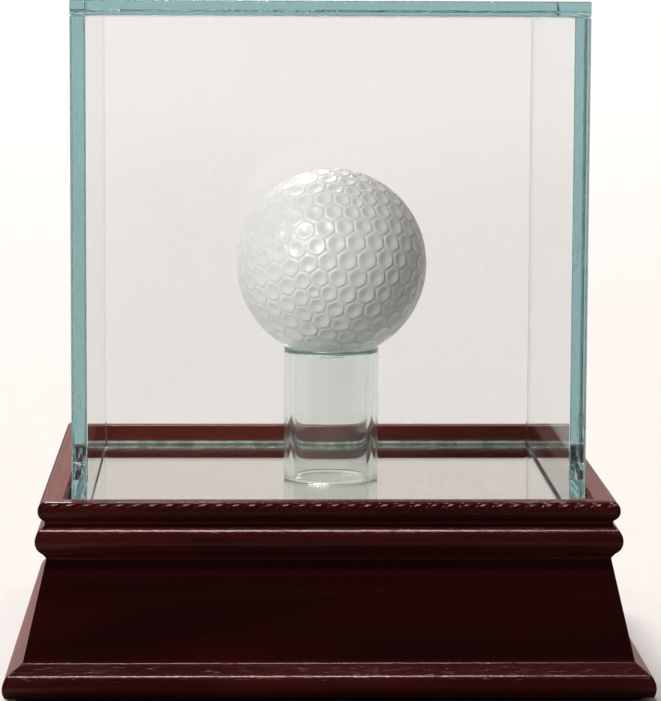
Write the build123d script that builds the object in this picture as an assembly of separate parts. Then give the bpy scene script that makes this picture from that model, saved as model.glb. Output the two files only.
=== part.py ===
from build123d import *
from math import sqrt
import os

# A small glass display case on a moulded wooden base, with one ball on a glass riser.
# Millimetres.  +Z is up, the front faces -Y, and the origin is the middle of the underside.

# ---- driving dimensions -----------------------------------------------------------------

# Wooden base: four mitred lengths of one moulding
rail_top = 41.0            # height of the rail above the table
rail_inner = 55.85         # half-width of the recess that the cover drops into
wall_inner = 47.0          # half-width of the hollow below the floor
nose_half = 68.1           # half-width over the plinth nose, the widest place
skirt_top_half = 59.2      # the sloping skirt, under the lower bead
skirt_foot_half = 64.0     # and where it meets the plinth
skirt_top_z = 29.0
skirt_foot_z = 7.7
panel_recess = 58.0        # half-width of the rebate under the base for its bottom panel

# Layers of the base, from the table up
felt_thickness = 0.8
felt_half = 65.5
panel_thickness = 3.0
floor_top = 37.0           # upper face of the mirror
mirror_thickness = 1.5
silver_thickness = 0.3     # silvering and its protective paint
tape_thickness = 0.5
board_thickness = 3.0
sheet_clearance = 0.35     # play of a flat sheet in its rebate

# Glass cover: five panes bonded edge to face
cover_half = 54.1
cover_top = 145.1
pane_thickness = 3.2
arris = 0.25               # ground corner along every cut edge of glass
bond_film = 0.1            # clear adhesive in each joint
rest_gap = 0.05            # dry joint between the cover's ground edges and the mirror

# Riser and ball.  The riser is bonded by hand, a little to the right of the middle.
riser_offset = 1.9
riser_outer = 10.65
riser_inner = 8.2
riser_height = 29.65
ball_radius = 42.67 / 2
ball_centre_z = 85.7
seat_gap = 0.15            # play between the ball and the ground seat in the riser
core_radius = 19.4
core_gap = 0.1

# Fixings
block_side = 15.0          # square corner blocks glued inside the mitres
screw_length = 14.0
screw_shank = 3.0
screw_head = 6.0
pin_length = 12.0
pin_shank = 1.2
pin_head = 2.2
pin_reach = 30.0           # each side has two panel pins, this far from its middle
nail_leg = 5.0             # V-nails under the mitres
nail_thickness = 0.5
nail_height = 8.0
nail_corner = 62.5         # where a V-nail's bend stands on the mitre

# ---- derived heights --------------------------------------------------------------------

wood_foot = felt_thickness
panel_top = wood_foot + panel_thickness
silver_top = floor_top - mirror_thickness
tape_top = silver_top - silver_thickness
board_top = tape_top - tape_thickness
ledge_z = board_top - board_thickness
wall_foot = floor_top + rest_gap
pane_under_top = cover_top - pane_thickness
pane_inner = cover_half - pane_thickness


def plate(half_x, half_y, low, high):
    """A flat rectangular sheet between two heights."""
    return Pos(0, 0, (low + high) / 2) * Box(2 * half_x, 2 * half_y, high - low)


def slab(x, y, z):
    """A box between two corners, given as one (low, high) pair for each axis."""
    centre = [(low + high) / 2 for low, high in (x, y, z)]
    return Pos(*centre) * Box(x[1] - x[0], y[1] - y[0], z[1] - z[0])


def save(name, *solids):
    """Writes one node, either one solid or a group of identical separate solids."""
    piece = solids[0] if len(solids) == 1 else Compound(children=list(solids))
    export_step(piece, f"parts/{name}.step")


# ---- fixings ----------------------------------------------------------------------------

def wood_screw():
    """A countersunk cross-head screw, head down at z = 0 and pointing up."""
    head_height = (screw_head - screw_shank) / 2
    tip_height = 3.0
    outline = Polyline(
        (0, 0), (screw_head / 2, 0), (screw_shank / 2, head_height),
        (screw_shank / 2, screw_length - tip_height), (0, screw_length), close=True)
    body = revolve(Plane.XZ * make_face(outline), Axis.Z)
    slot_length, slot_width, slot_depth = 3.2, 0.8, 0.9
    recess = Box(slot_length, slot_width, 2 * slot_depth) + Box(slot_width, slot_length, 2 * slot_depth)
    return body - recess


def screw_hole():
    """The countersunk hole that a screw fills."""
    head_height = (screw_head - screw_shank) / 2
    hole = Pos(0, 0, head_height / 2) * Cone(screw_head / 2, screw_shank / 2, head_height)
    return hole + Pos(0, 0, screw_length / 2) * Cylinder(screw_shank / 2, screw_length)


def panel_pin():
    """A panel pin, its head's top at z = 0 and pointing down."""
    head_height, tip_height = 0.5, 1.5
    outline = Polyline(
        (0, 0), (pin_head / 2, 0), (pin_shank / 2, -head_height),
        (pin_shank / 2, tip_height - pin_length), (0, -pin_length), close=True)
    return revolve(Plane.XZ * make_face(outline), Axis.Z)


def v_nail():
    """A bent strip driven up into both halves of the back right mitre."""
    back_leg = slab((nail_corner - nail_leg, nail_corner), (nail_corner - nail_thickness, nail_corner),
                    (wood_foot, wood_foot + nail_height))
    right_leg = slab((nail_corner - nail_thickness, nail_corner), (nail_corner - nail_leg, nail_corner),
                     (wood_foot, wood_foot + nail_height))
    return back_leg + right_leg


def four_turns(solid):
    """The solid at each of the case's four sides or corners."""
    return [Rot(0, 0, 90 * turn) * solid for turn in range(4)]


def pin_places():
    """Two places on the ledge of each side."""
    across = (wall_inner + rail_inner) / 2
    return [Rot(0, 0, 90 * turn) * Pos(along, -across, board_top)
            for turn in range(4) for along in (-pin_reach, pin_reach)]


def screw_places():
    """One place under each corner block."""
    across = wall_inner - block_side / 2
    return [Rot(0, 0, 90 * turn) * Pos(across, across, wood_foot) for turn in range(4)]


# ---- base -------------------------------------------------------------------------------

def moulding_outline():
    """Section of the moulding: distance out from the middle, and height."""
    rail_corner = (rail_inner + 3.85, rail_top)
    rail_shoulder = (60.7, 40.2)
    groove_top = (59.8, 37.1)
    groove_foot = (59.9, 35.7)
    bead_foot = (60.0, 30.0)
    bevel_foot = (66.9, 5.7)
    nose_foot = (67.5, wood_foot)
    return [
        Line((wall_inner, ledge_z), (rail_inner, ledge_z)),
        Line((rail_inner, ledge_z), (rail_inner, rail_top)),
        Line((rail_inner, rail_top), rail_corner),
        ThreePointArc(rail_corner, (60.35, 40.7), rail_shoulder),
        ThreePointArc(rail_shoulder, (60.9, 38.9), groove_top),
        ThreePointArc(groove_top, (59.45, 36.4), groove_foot),
        ThreePointArc(groove_foot, (61.5, 33.0), bead_foot),
        Line(bead_foot, (skirt_top_half, skirt_top_z)),
        Line((skirt_top_half, skirt_top_z), (skirt_foot_half, skirt_foot_z)),
        Line((skirt_foot_half, skirt_foot_z), bevel_foot),
        ThreePointArc(bevel_foot, (nose_half, 2.6), nose_foot),
        Line(nose_foot, (panel_recess, wood_foot)),
        Line((panel_recess, wood_foot), (panel_recess, panel_top)),
        Line((panel_recess, panel_top), (wall_inner, panel_top)),
        Line((wall_inner, panel_top), (wall_inner, ledge_z)),
    ]


def mouldings():
    """The four mitred lengths, in the order right, back, left, front."""
    reach = nose_half + 2
    section = Plane.XZ * make_face(moulding_outline())
    length = extrude(section, reach, both=True)
    wedge = extrude(make_face(Polyline((0, 0), (reach, -reach), (reach, reach), close=True)), rail_top + 1)
    side = length & wedge
    for nail in four_turns(v_nail()):
        side -= nail
    sides = four_turns(side)
    for place in pin_places():
        sides = [piece - place * panel_pin() for piece in sides]
    return sides


def corner_blocks():
    """Glued blocks inside the mitres, drilled for the bottom screws."""
    block = slab((wall_inner - block_side, wall_inner), (wall_inner - block_side, wall_inner),
                 (panel_top, ledge_z))
    block = chamfer(block.edges().filter_by(Axis.Z).sort_by(Axis((0, 0, 0), (1, 1, 0)))[0], 6)
    block -= screw_places()[0] * screw_hole()
    return four_turns(block)


def floor_board():
    """Thin board on the ledge, under the mirror."""
    board = plate(rail_inner - sheet_clearance, rail_inner - sheet_clearance, ledge_z, board_top)
    for place in pin_places():
        board -= place * panel_pin()
    return board


def bottom_panel():
    """Thin board screwed into the rebate under the base."""
    half = panel_recess - sheet_clearance
    panel = plate(half, half, wood_foot, panel_top)
    for place in screw_places():
        panel -= place * screw_hole()
    return panel


def mirror_tapes():
    """Two strips that hold the mirror to the floor board."""
    return [slab((-45, 45), (side - 6, side + 6), (board_top, tape_top)) for side in (-30, 30)]


# ---- riser and ball ---------------------------------------------------------------------

def riser():
    """A thick glass ring, ground at the top to the curve of the ball."""
    foot = floor_top + bond_film
    tube = Cylinder(riser_outer, riser_height) - Cylinder(riser_inner, riser_height)
    tube = Pos(riser_offset, 0, foot + riser_height / 2) * tube
    return tube - Pos(riser_offset, 0, ball_centre_z) * Sphere(ball_radius + seat_gap)


def riser_bond():
    """Film of clear adhesive under the riser."""
    ring = Cylinder(riser_outer - 2 * arris, bond_film) - Cylinder(riser_inner + 2 * arris, bond_film)
    return Pos(riser_offset, 0, floor_top + bond_film / 2) * ring


def ball_shell():
    """The moulded cover of the ball."""
    shell = Sphere(ball_radius) - Sphere(core_radius + core_gap)
    return Pos(riser_offset, 0, ball_centre_z) * shell


# ---- glass cover ------------------------------------------------------------------------

def pane(x, y, z):
    """A sheet of glass with every edge ground to a small arris."""
    sheet = slab(x, y, z)
    return chamfer(sheet.edges(), arris)


def corner_bonds():
    """The four upright films, between the ends of the side panes and the long panes."""
    x = (pane_inner + arris, cover_half - arris)
    y = (pane_inner - bond_film, pane_inner)
    z = (wall_foot + arris, pane_under_top - bond_film - arris)
    film = slab(x, y, z)
    return [film, mirror(film, Plane.XZ), mirror(film, Plane.YZ), mirror(mirror(film, Plane.XZ), Plane.YZ)]


def top_bond():
    """The square film under the top pane."""
    outer, inner = cover_half - arris, pane_inner + arris
    low, high = pane_under_top - bond_film, pane_under_top
    return plate(outer, outer, low, high) - plate(inner, inner, low, high)


# ---- every node -------------------------------------------------------------------------

os.makedirs("parts", exist_ok=True)

for side_name, solid in zip(("right", "back", "left", "front"), mouldings()):
    save(f"moulding_{side_name}", solid)
for corner_name, solid in zip(("back_right", "back_left", "front_left", "front_right"), corner_blocks()):
    save(f"corner_block_{corner_name}", solid)
save("corner_v_nails", *four_turns(v_nail()))
save("floor_board", floor_board())
save("floor_pins", *[place * panel_pin() for place in pin_places()])
save("bottom_panel", bottom_panel())
save("bottom_screws", *[place * wood_screw() for place in screw_places()])
save("felt_pad", plate(felt_half, felt_half, 0, felt_thickness))

sheet_half = rail_inner - sheet_clearance
save("mirror_tapes", *mirror_tapes())
save("mirror_silvering", plate(sheet_half - arris, sheet_half - arris, tape_top, silver_top))
save("mirror_plate", plate(sheet_half, sheet_half, silver_top, floor_top))

save("riser_tube", riser())
save("riser_bond", riser_bond())
save("ball_shell", ball_shell())
save("ball_core", Pos(riser_offset, 0, ball_centre_z) * Sphere(core_radius))

long_span = (-cover_half, cover_half)
short_span = (-pane_inner + bond_film, pane_inner - bond_film)
front_wall = (-cover_half, -pane_inner)
back_wall = (pane_inner, cover_half)
wall_height = (wall_foot, pane_under_top - bond_film)
save("glass_front", pane(long_span, front_wall, wall_height))
save("glass_back", pane(long_span, back_wall, wall_height))
save("glass_left", pane(front_wall, short_span, wall_height))
save("glass_right", pane(back_wall, short_span, wall_height))
save("glass_top", pane(long_span, long_span, (pane_under_top, cover_top)))
save("corner_bonds", *corner_bonds())
save("top_bond", top_bond())

cover_lift_to_clear = ball_centre_z + ball_radius - wall_foot
seat_radius = ball_radius + seat_gap
seat_depth = sqrt(seat_radius ** 2 - riser_inner ** 2) - sqrt(seat_radius ** 2 - riser_outer ** 2)
print(f"lift that brings the cover's edge over the ball: {cover_lift_to_clear:.1f} mm")
print(f"depth of the ground seat in the riser: {seat_depth:.2f} mm")
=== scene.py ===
# %% [markdown]
# # A ball in a glass display case
#
# The real object is a small square case for one golf ball. A dark stained base, built of four
# mitred lengths of moulding, holds a mirror for a floor. A cover of five glass panes, glued
# edge to face, stands on that mirror inside a rail, and the ball rests on a glass ring.
# The CAD frame is loaded first, because every piece below is placed by it.

# %% Load the frame
from math import cos, pi, radians, sin, sqrt

import bmesh
import bpy
from mathutils import Matrix, Vector, noise


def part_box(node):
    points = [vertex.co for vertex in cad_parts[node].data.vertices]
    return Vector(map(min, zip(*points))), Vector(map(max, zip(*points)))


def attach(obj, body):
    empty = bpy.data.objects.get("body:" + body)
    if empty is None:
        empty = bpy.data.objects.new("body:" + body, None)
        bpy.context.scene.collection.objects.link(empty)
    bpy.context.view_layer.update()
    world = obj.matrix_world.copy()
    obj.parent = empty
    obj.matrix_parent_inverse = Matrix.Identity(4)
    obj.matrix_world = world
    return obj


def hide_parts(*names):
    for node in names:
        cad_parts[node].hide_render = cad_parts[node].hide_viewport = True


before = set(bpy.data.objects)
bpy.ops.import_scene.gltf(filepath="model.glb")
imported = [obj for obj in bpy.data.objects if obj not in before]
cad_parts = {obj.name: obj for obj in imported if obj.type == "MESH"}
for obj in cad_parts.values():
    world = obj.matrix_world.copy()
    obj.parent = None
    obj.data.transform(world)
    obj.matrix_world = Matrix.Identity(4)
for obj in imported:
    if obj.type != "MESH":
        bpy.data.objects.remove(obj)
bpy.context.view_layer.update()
MM = 0.001

# %% [markdown]
# ## Small helpers for node trees
#
# Materials and Geometry Nodes trees are both built by adding nodes and joining sockets.
# Three short helpers keep that readable: one sets or links a socket, one adds a node, and
# one adds a Math or Vector Math node and gives its result.

# %% Node helpers


def plug(tree, socket, value):
    """Links value into socket if it is a socket itself, and otherwise sets it as a constant."""
    if isinstance(value, bpy.types.NodeSocket):
        tree.links.new(value, socket)
    else:
        socket.default_value = value


def add(tree, kind, values=None, **settings):
    """Adds a node. values maps the names or numbers of its inputs to sockets or constants."""
    node = tree.nodes.new(kind)
    for setting, value in settings.items():
        setattr(node, setting, value)
    for name, value in (values or {}).items():
        plug(tree, node.inputs[name], value)
    return node


def calc(tree, operation, *values):
    """One Math node on numbers, and its result."""
    return add(tree, "ShaderNodeMath", dict(enumerate(values)), operation=operation).outputs[0]


def vector_calc(tree, operation, *values):
    """One Vector Math node, and its result. SCALE takes a vector and a number."""
    names = (0, 3) if operation == "SCALE" else range(len(values))
    node = add(tree, "ShaderNodeVectorMath", dict(zip(names, values)), operation=operation)
    gives_number = operation in ("LENGTH", "DOT_PRODUCT", "DISTANCE")
    return node.outputs["Value" if gives_number else "Vector"]


def smooth_step(tree, value, low, high, start=0.0, end=1.0):
    """value eased from start to end as it goes from low to high."""
    values = {"Value": value, "From Min": low, "From Max": high, "To Min": start, "To Max": end}
    return add(tree, "ShaderNodeMapRange", values, interpolation_type="SMOOTHSTEP").outputs["Result"]


# %% [markdown]
# ## Camera and studio
#
# A long lens well back keeps the case's upright edges nearly parallel, and the camera looks
# slightly down from a little above the cover's top.

# %% Camera
camera_place = Vector((-0.01985, -0.7353, 0.1530))
camera_turn, camera_dip, camera_roll = 0.0294, 0.118, 0.0043

ahead = Vector((sin(camera_turn) * cos(camera_dip), cos(camera_turn) * cos(camera_dip), -sin(camera_dip)))
level = Vector((cos(camera_turn), -sin(camera_turn), 0))
upright = level.cross(ahead)
right = cos(camera_roll) * level + sin(camera_roll) * upright
up = cos(camera_roll) * upright - sin(camera_roll) * level

camera = bpy.data.objects.new("camera", bpy.data.cameras.new("camera"))
camera.data.lens = 168.2
camera.data.clip_start, camera.data.clip_end = 0.01, 50
axes = Matrix((right, up, -ahead)).transposed().to_4x4()
camera.matrix_world = Matrix.Translation(camera_place) @ axes
bpy.context.collection.objects.link(camera)
bpy.context.scene.camera = camera

# %% [markdown]
# ## Lamps
#
# A large key from the front left models the ball. A long thin strip almost overhead draws the
# line of light along the beads and the glints on the carving. A low kicker lifts the plinth's
# front without a highlight of its own. A soft sun from behind lights the paper and the rails.

# %% Lamps


def softbox(name, place, aim, width, height, watts, colour=(1, 1, 1)):
    """A rectangular area lamp at place, facing aim."""
    lamp = bpy.data.lights.new(name, "AREA")
    lamp.shape, lamp.size, lamp.size_y = "RECTANGLE", width, height
    lamp.energy, lamp.color = watts, colour
    holder = bpy.data.objects.new(name, lamp)
    holder.location = place
    holder.rotation_mode = "QUATERNION"
    holder.rotation_quaternion = (Vector(aim) - Vector(place)).to_track_quat("-Z", "Y")
    holder.visible_camera = False
    bpy.context.collection.objects.link(holder)
    return holder


key = softbox("key", (-1.27, -1.76, 1.45), (0, 0, 0.09), 0.8, 0.8, 82, (1.0, 0.965, 0.94))
strip = softbox("strip_above", (-0.05, -0.64, 1.95), (0, -0.06, 0.035), 0.6, 0.18, 37, (1.0, 0.70, 0.68))
kicker = softbox("low_kicker", (-0.15, -0.95, 0.10), (0, -0.07, 0.01), 1.2, 0.15, 1.7, (1.0, 0.93, 0.92))
kicker.visible_glossy = False


def sunlight(name, source, strength, softness):
    """Parallel light from the direction of source, as even on a far floor as on a near one."""
    lamp = bpy.data.lights.new(name, "SUN")
    lamp.energy, lamp.angle = strength, softness
    holder = bpy.data.objects.new(name, lamp)
    holder.rotation_mode = "QUATERNION"
    holder.rotation_quaternion = Vector(source).to_track_quat("Z", "Y")
    bpy.context.collection.objects.link(holder)
    return holder


skylight = sunlight("skylight", (-0.15, 0.75, 0.64), 4.1, radians(18))
print("lamps:", [lamp.name for lamp in bpy.data.lights])

# %% [markdown]
# ## The room
#
# Glass and mirrors only show what is around them, so the room matters as much as the lamps:
# bright behind and low, which fills the glass with light, and dim in front, which keeps the
# dark wood dark.

# %% World


def build_world():
    """Bright behind and above, dim in front. The camera itself sees an even pale wall."""
    world = bpy.data.worlds.new("studio")
    world.use_nodes = True
    bpy.context.scene.world = world
    tree = world.node_tree
    tree.nodes.clear()
    direction = add(tree, "ShaderNodeTexCoord").outputs["Generated"]
    parts = add(tree, "ShaderNodeSeparateXYZ", {0: direction}).outputs
    behind = smooth_step(tree, parts["Y"], -0.1, 0.75, 0.03, 1.10)
    behind = calc(tree, "MULTIPLY", behind, smooth_step(tree, parts["Z"], 0.25, 0.6, 1.0, 0.6))
    seen = add(tree, "ShaderNodeLightPath").outputs["Is Camera Ray"]
    strength = add(tree, "ShaderNodeMix", {"Factor": seen, "A": behind, "B": 1.0}).outputs[0]
    glow = add(tree, "ShaderNodeBackground", {"Color": (1.0, 0.905, 0.85, 1), "Strength": strength})
    add(tree, "ShaderNodeOutputWorld", {"Surface": glow.outputs[0]})
    return world


print("room:", build_world().name)

# %% [markdown]
# ## Shader groups that several materials share
#
# Grain, mottling and dust each turn up in more than one finish, so each is a node group that
# is built once. A group gives out only masks and heights. The Principled shader itself stays
# in the material, where its constant values are set on its own sockets.

# %% Group helpers


def shader_group(name, inputs, outputs):
    """A new shader node group: gives the tree, its input sockets and its output node."""
    tree = bpy.data.node_groups.new(name, "ShaderNodeTree")
    for label, (kind, value) in inputs.items():
        socket = tree.interface.new_socket(label, in_out="INPUT", socket_type=kind)
        if value is not None:
            socket.default_value = value
    for label in outputs:
        tree.interface.new_socket(label, in_out="OUTPUT", socket_type="NodeSocketFloat")
    return tree, tree.nodes.new("NodeGroupInput").outputs, tree.nodes.new("NodeGroupOutput")


def noise_at(tree, place, scale, detail=2.0, roughness=0.5, distortion=0.0):
    """A noise texture's value, from 0 to 1, at a place in metres."""
    values = {"Vector": place, "Scale": scale, "Detail": detail, "Roughness": roughness,
              "Distortion": distortion}
    return add(tree, "ShaderNodeTexNoise", values).outputs["Fac"]


def stretched(tree, place, along, across):
    """place scaled so that a texture on it runs in streaks along its first axis."""
    return vector_calc(tree, "MULTIPLY", place, (along, across, across))


# %% The grain, mottle and dust groups


def build_grain():
    """Wood: broad figure, fine streaks and short pores, all running along the first axis."""
    tree, given, out = shader_group(
        "grain", {"Place": ("NodeSocketVector", None)}, ("Figure", "Streaks", "Pores"))
    figure = noise_at(tree, stretched(tree, given["Place"], 9, 60), 1.0, 3, 0.55, 1.2)
    streaks = noise_at(tree, stretched(tree, given["Place"], 28, 900), 1.0, 4, 0.65, 0.3)
    pores = noise_at(tree, stretched(tree, given["Place"], 260, 3600), 1.0, 2, 0.5)
    plug(tree, out.inputs["Figure"], smooth_step(tree, figure, 0.32, 0.68))
    plug(tree, out.inputs["Streaks"], smooth_step(tree, streaks, 0.30, 0.72))
    plug(tree, out.inputs["Pores"], smooth_step(tree, pores, 0.60, 0.74))
    return tree


def build_mottle():
    """Uneven tone at two sizes, and a fine height for a moulded, sprayed or pressed skin."""
    tree, given, out = shader_group(
        "mottle",
        {"Place": ("NodeSocketVector", None), "Broad": ("NodeSocketFloat", 40.0),
         "Fine": ("NodeSocketFloat", 900.0)},
        ("Broad", "Fine", "Height"))
    broad = noise_at(tree, given["Place"], given["Broad"], 3, 0.5)
    fine = noise_at(tree, given["Place"], given["Fine"], 3, 0.6)
    plug(tree, out.inputs["Broad"], smooth_step(tree, broad, 0.3, 0.7))
    plug(tree, out.inputs["Fine"], smooth_step(tree, fine, 0.3, 0.7))
    plug(tree, out.inputs["Height"], calc(tree, "ADD", calc(tree, "MULTIPLY", fine, 0.7),
                                          calc(tree, "MULTIPLY", broad, 0.3)))
    return tree


def build_dust():
    """A thin veil of dust that lies on faces that look up, thicker in patches."""
    tree, given, out = shader_group(
        "dust", {"Place": ("NodeSocketVector", None), "Amount": ("NodeSocketFloat", 0.5)}, ("Mask",))
    facing = add(tree, "ShaderNodeNewGeometry").outputs["Normal"]
    height = add(tree, "ShaderNodeSeparateXYZ", {0: facing}).outputs["Z"]
    lying = smooth_step(tree, height, 0.35, 0.95)
    patches = smooth_step(tree, noise_at(tree, given["Place"], 55, 4, 0.6), 0.35, 0.75)
    specks = smooth_step(tree, noise_at(tree, given["Place"], 1500, 1, 0.5), 0.58, 0.72)
    cover = calc(tree, "MULTIPLY", calc(tree, "ADD", patches, specks), 0.5)
    mask = calc(tree, "MULTIPLY", calc(tree, "MULTIPLY", lying, cover), given["Amount"])
    plug(tree, out.inputs["Mask"], mask)
    return tree


GRAIN, MOTTLE, DUST = build_grain(), build_mottle(), build_dust()
print("shader groups:", [group.name for group in (GRAIN, MOTTLE, DUST)])

# %% Material helpers


def new_material(name):
    """An empty material: its tree, its Principled shader and its output node."""
    material = bpy.data.materials.new(name)
    material.use_nodes = True
    tree = material.node_tree
    tree.nodes.clear()
    shader = tree.nodes.new("ShaderNodeBsdfPrincipled")
    output = add(tree, "ShaderNodeOutputMaterial", {"Surface": shader.outputs[0]})
    return material, tree, shader, output


def group_in(tree, group, values):
    """Places a shader group in a material and gives its outputs."""
    node = tree.nodes.new("ShaderNodeGroup")
    node.node_tree = group
    for name, value in values.items():
        plug(tree, node.inputs[name], value)
    return node.outputs


def object_place(tree):
    """Where the shaded point is, in metres, in the object's own frame."""
    return add(tree, "ShaderNodeTexCoord").outputs["Object"]


def blend_colours(tree, factor, first, second):
    """first where factor is 0, second where it is 1."""
    node = tree.nodes.new("ShaderNodeMix")
    node.data_type = "RGBA"
    plug(tree, node.inputs["Factor"], factor)
    plug(tree, node.inputs["A"], first)
    plug(tree, node.inputs["B"], second)
    return node.outputs["Result"]


def bump(tree, height, distance, strength=1.0):
    """A normal from a height, with distance its depth in metres."""
    values = {"Height": height, "Distance": distance, "Strength": strength}
    return add(tree, "ShaderNodeBump", values).outputs["Normal"]


def rgb(red, green, blue):
    """An opaque colour from linear values."""
    return (red, green, blue, 1.0)


# %% [markdown]
# ## Stained and lacquered wood
#
# The moulding is a close-grained hardwood under an almost opaque cherry stain and a gloss
# lacquer. Stain sinks into pores, so they are darkest. The lacquer levels out, but keeps a
# faint orange peel. The grain follows each length, so the material reads the moulding's own
# UV map: the first axis runs along the length and the second round the section, in metres.
# The colour is not even either: the rail's inner face and top are coloured lighter and redder,
# which is painted light, and the broad skirt darker, which is painted shade. Faces seen edge-on
# turn a lighter red, a painted sheen.

# %% Stained wood
RAIL_TOP_END = 0.0215
SKIRT_FOOT, SKIRT_HEAD = 0.0077, 0.0295
# How soft the edge is of the painted light on the rail and the painted shade on the skirt.
PAINTED_SHADING_EDGE = 0.001


def build_stained_wood():
    """Cherry stain and gloss lacquer, grain along the moulding, with painted light and shade."""
    material, tree, shader, _ = new_material("stained_wood")
    place = object_place(tree)
    run = add(tree, "ShaderNodeUVMap", uv_map="run").outputs[0]
    wood = group_in(tree, GRAIN, {"Place": run})
    skin = group_in(tree, MOTTLE, {"Place": place, "Broad": 30.0, "Fine": 1400.0})
    dust = group_in(tree, DUST, {"Place": place, "Amount": 0.05})["Mask"]
    body = blend_colours(tree, wood["Figure"], rgb(0.029, 0.0050, 0.0047), rgb(0.058, 0.0088, 0.0080))
    girth = add(tree, "ShaderNodeSeparateXYZ", {0: run}).outputs["Y"]
    # Painted light: the rail's inner face and top are coloured lighter and redder than the rest.
    rail = smooth_step(tree, girth, RAIL_TOP_END - 2 * PAINTED_SHADING_EDGE, RAIL_TOP_END, 1, 0)
    body = blend_colours(tree, rail, body, rgb(0.112, 0.0165, 0.0125))
    # Painted sheen: where a face is seen edge-on, its colour turns a lighter red.
    slant = add(tree, "ShaderNodeLayerWeight", {"Blend": 0.5}).outputs["Facing"]
    painted_sheen = smooth_step(tree, slant, 0.72, 0.97)
    body = blend_colours(tree, painted_sheen, body, rgb(0.15, 0.028, 0.024))
    darker = blend_colours(tree, 0.6, body, rgb(0.003, 0.0010, 0.0010))
    # Painted shade: the broad skirt, between the plinth and the bead, is coloured darker.
    height = add(tree, "ShaderNodeSeparateXYZ", {0: place}).outputs["Z"]
    above_plinth = smooth_step(tree, height, SKIRT_FOOT, SKIRT_FOOT + PAINTED_SHADING_EDGE)
    below_bead = smooth_step(tree, height, SKIRT_HEAD - PAINTED_SHADING_EDGE, SKIRT_HEAD, 1, 0)
    body = blend_colours(tree, calc(tree, "MULTIPLY", above_plinth, below_bead), body, darker)
    body = blend_colours(tree, calc(tree, "MULTIPLY", wood["Streaks"], 0.6), body, darker)
    body = blend_colours(tree, calc(tree, "MULTIPLY", wood["Pores"], 0.8), body, darker)
    plug(tree, shader.inputs["Base Color"], blend_colours(tree, dust, body, rgb(0.30, 0.26, 0.23)))
    rough = calc(tree, "ADD", 0.40, calc(tree, "MULTIPLY", skin["Broad"], 0.10))
    plug(tree, shader.inputs["Roughness"], rough)
    peel = calc(tree, "SUBTRACT", skin["Height"], calc(tree, "MULTIPLY", wood["Pores"], 0.35))
    relief = bump(tree, peel, 0.00006, 0.6)
    plug(tree, shader.inputs["Normal"], relief)
    plug(tree, shader.inputs["Coat Normal"], relief)
    shader.inputs["Specular IOR Level"].default_value = 0.0
    shader.inputs["Coat Weight"].default_value = 0.29
    shader.inputs["Coat Roughness"].default_value = 0.15
    return material


STAINED_WOOD = build_stained_wood()
print(STAINED_WOOD.name, "has", len(STAINED_WOOD.node_tree.nodes), "nodes")

# %% [markdown]
# ## Glass
#
# Float glass is almost clear through its thickness, but green along it, because light that
# travels the whole length of a pane meets the iron in the glass all the way. A Volume
# Absorption shader gives exactly that, so the teal edges are not painted. The cut edges are
# polished but a little wavy, and the small ground corners are rough.
#
# Lamps can't be sampled through a shader that bends light, so shadow and diffuse rays get a
# plain Transparent shader in its place.

# %% Glass materials


def let_lamps_through(tree, shader, output):
    """Shadow and diffuse rays pass straight through the glass."""
    path = tree.nodes.new("ShaderNodeLightPath")
    clear = add(tree, "ShaderNodeBsdfTransparent", {"Color": rgb(0.945, 0.945, 0.94)})
    for ray in ("Is Diffuse Ray", "Is Shadow Ray"):
        mixer = add(tree, "ShaderNodeMixShader", {0: path.outputs[ray], 1: shader, 2: clear.outputs[0]})
        shader = mixer.outputs[0]
    plug(tree, output.inputs["Surface"], shader)


def build_glass(name, tint, wave, absorbed, density):
    """Clear glass with faint waves. absorbed is the colour that survives a long way through it."""
    material, tree, shader, output = new_material(name)
    place = object_place(tree)
    smudges = group_in(tree, MOTTLE, {"Place": place, "Broad": 22.0, "Fine": 700.0})
    smear = calc(tree, "MULTIPLY", smudges["Broad"], smudges["Fine"])
    hazed = tuple(0.97 * channel for channel in tint[:3]) + (1.0,)
    plug(tree, shader.inputs["Base Color"], blend_colours(tree, smear, tint, hazed))
    shader.inputs["Roughness"].default_value = 0.0
    shader.inputs["IOR"].default_value = 1.5
    shader.inputs["Transmission Weight"].default_value = 1.0
    waves = noise_at(tree, vector_calc(tree, "SCALE", place, 14), 1.0, 2, 0.5)
    relief = bump(tree, waves, wave)
    plug(tree, shader.inputs["Normal"], relief)
    inside = add(tree, "ShaderNodeVolumeAbsorption", {"Color": absorbed, "Density": density})
    plug(tree, output.inputs["Volume"], inside.outputs[0])
    let_lamps_through(tree, shader.outputs[0], output)
    return material, tree, shader, relief


print("glass helpers are ready")

# %% [markdown]
# The panes are float glass, and the riser is cast glass of another melt. The panes' surface is
# made a little less of a mirror than bare glass, so that the ball's own image in the back pane
# stays faint.

# %% Pane glass and riser glass
IRON_TINT, IRON_DENSITY = rgb(0.07, 0.46, 0.49), 13.0


def stored(tree, name):
    """A number stored on the mesh under a name."""
    return add(tree, "ShaderNodeAttribute", attribute_name=name).outputs["Fac"]


def build_pane_glass():
    """Float glass with clear faces, cut edges with saw waves, and ground corners.

    The mesh stores on each face how much it is cut, ground or bonded. One material covers a
    whole pane, because light has to leave the tint by the same material it came in by.
    """
    clear, wave = rgb(0.948, 0.945, 0.940), 0.000004
    material, tree, shader, relief = build_glass("pane_glass", clear, wave, IRON_TINT, IRON_DENSITY)
    place = object_place(tree)
    saw = noise_at(tree, stretched(tree, place, 1400, 60), 1.0, 2, 0.5)
    sawn = bump(tree, calc(tree, "MULTIPLY", saw, stored(tree, "cut")), 0.000008)
    plug(tree, sawn.node.inputs["Normal"], relief)
    grit = noise_at(tree, place, 2600, 2, 0.7)
    ground = bump(tree, calc(tree, "MULTIPLY", grit, stored(tree, "ground")), 0.00016)
    plug(tree, ground.node.inputs["Normal"], sawn)
    plug(tree, shader.inputs["Normal"], ground)
    plug(tree, shader.inputs["Alpha"], calc(tree, "SUBTRACT", 1, stored(tree, "bonded")))
    shader.inputs["Specular Tint"].default_value = rgb(0.45, 0.45, 0.45)
    return material


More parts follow.
